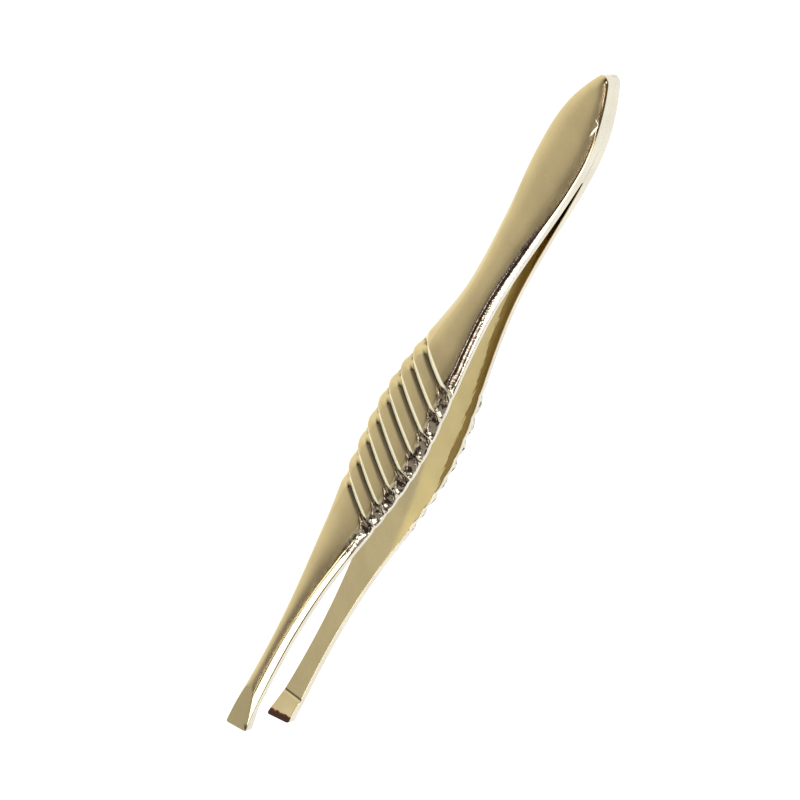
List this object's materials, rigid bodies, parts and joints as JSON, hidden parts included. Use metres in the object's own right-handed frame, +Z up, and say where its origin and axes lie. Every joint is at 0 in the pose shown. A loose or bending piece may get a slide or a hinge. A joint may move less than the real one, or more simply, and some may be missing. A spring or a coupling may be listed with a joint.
{
  "type": "slant tweezers",
  "caption": "Gold-coloured metal slant tweezers with a leaf-shaped welded heel, a ribbed grip, slim necks and slanted gripping tips; both arms spring open and close together.",
  "frame": {"origin": "on the resting surface, under the middle of the bounding box, with the tweezers lying on their side edges", "axes": "+X from the heel to the slanted tips, +Y from the front arm to the rear arm, the way the arms open, +Z up, across the width of the arms"},
  "size_m": [0.095, 0.0088, 0.0086],
  "materials": {
    "arm_plating": "stainless steel with a gold-coloured plating, satin outside and polished on the inner faces",
    "weld_metal": "weld metal ground flush and plated with the arms"
  },
  "bodies": {
    "heel": {"heel_weld": "weld_metal", "front_arm_heel": "arm_plating", "rear_arm_heel": "arm_plating"},
    "front_blade": {"front_arm_blade": "arm_plating"},
    "rear_blade": {"rear_arm_blade": "arm_plating"}
  },
  "joints": [
    {"name": "front_arm_flex", "type": "hinge", "parent": "heel", "child": "front_blade", "pos_m": [-0.0255, -0.0012, 0.00435], "axis": [0, 0, 1], "range_deg": [0, 2.1], "stiffness_Nm_per_rad": 3},
    {"name": "rear_arm_flex", "type": "hinge", "parent": "heel", "child": "rear_blade", "pos_m": [-0.0255, 0.0012, 0.00435], "axis": [0, 0, -1], "range_deg": [0, 2.1], "stiffness_Nm_per_rad": 3}
  ],
  "couplings": [
    {"joint": "rear_arm_flex", "follows": "front_arm_flex", "ratio": 1}
  ]
}
